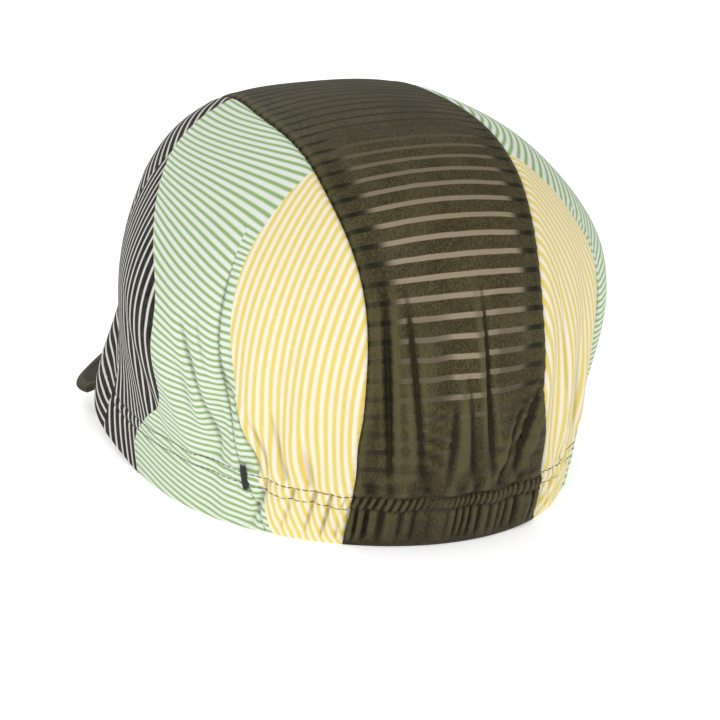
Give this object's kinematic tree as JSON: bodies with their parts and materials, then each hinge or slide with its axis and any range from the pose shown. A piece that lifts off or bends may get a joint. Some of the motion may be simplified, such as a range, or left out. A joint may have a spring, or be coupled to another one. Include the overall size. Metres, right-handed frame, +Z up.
{
  "type": "peaked cap",
  "caption": "Soft cloth cap with a domed crown of one centre and two side panels, a turned gathered hem and a short arched peak.",
  "frame": {"origin": "on the surface the cap stands on, below the middle of its outer box", "axes": "+Z up, the peak points toward -Y, the wearer's left is +X"},
  "size_m": [0.1805, 0.253, 0.1435],
  "materials": {
    "centre_cloth": "dark olive knitted cloth with cross-wise sheer stripes",
    "side_cloth": "smooth printed cloth with fine stripes in yellow, green and black on pale grounds",
    "peak_cloth": "plain dark olive cloth over a stiff board"
  },
  "bodies": {
    "root": {"centre_panel": "centre_cloth", "side_panel_left": "side_cloth", "side_panel_right": "side_cloth", "peak": "peak_cloth"}
  },
  "joints": []
}
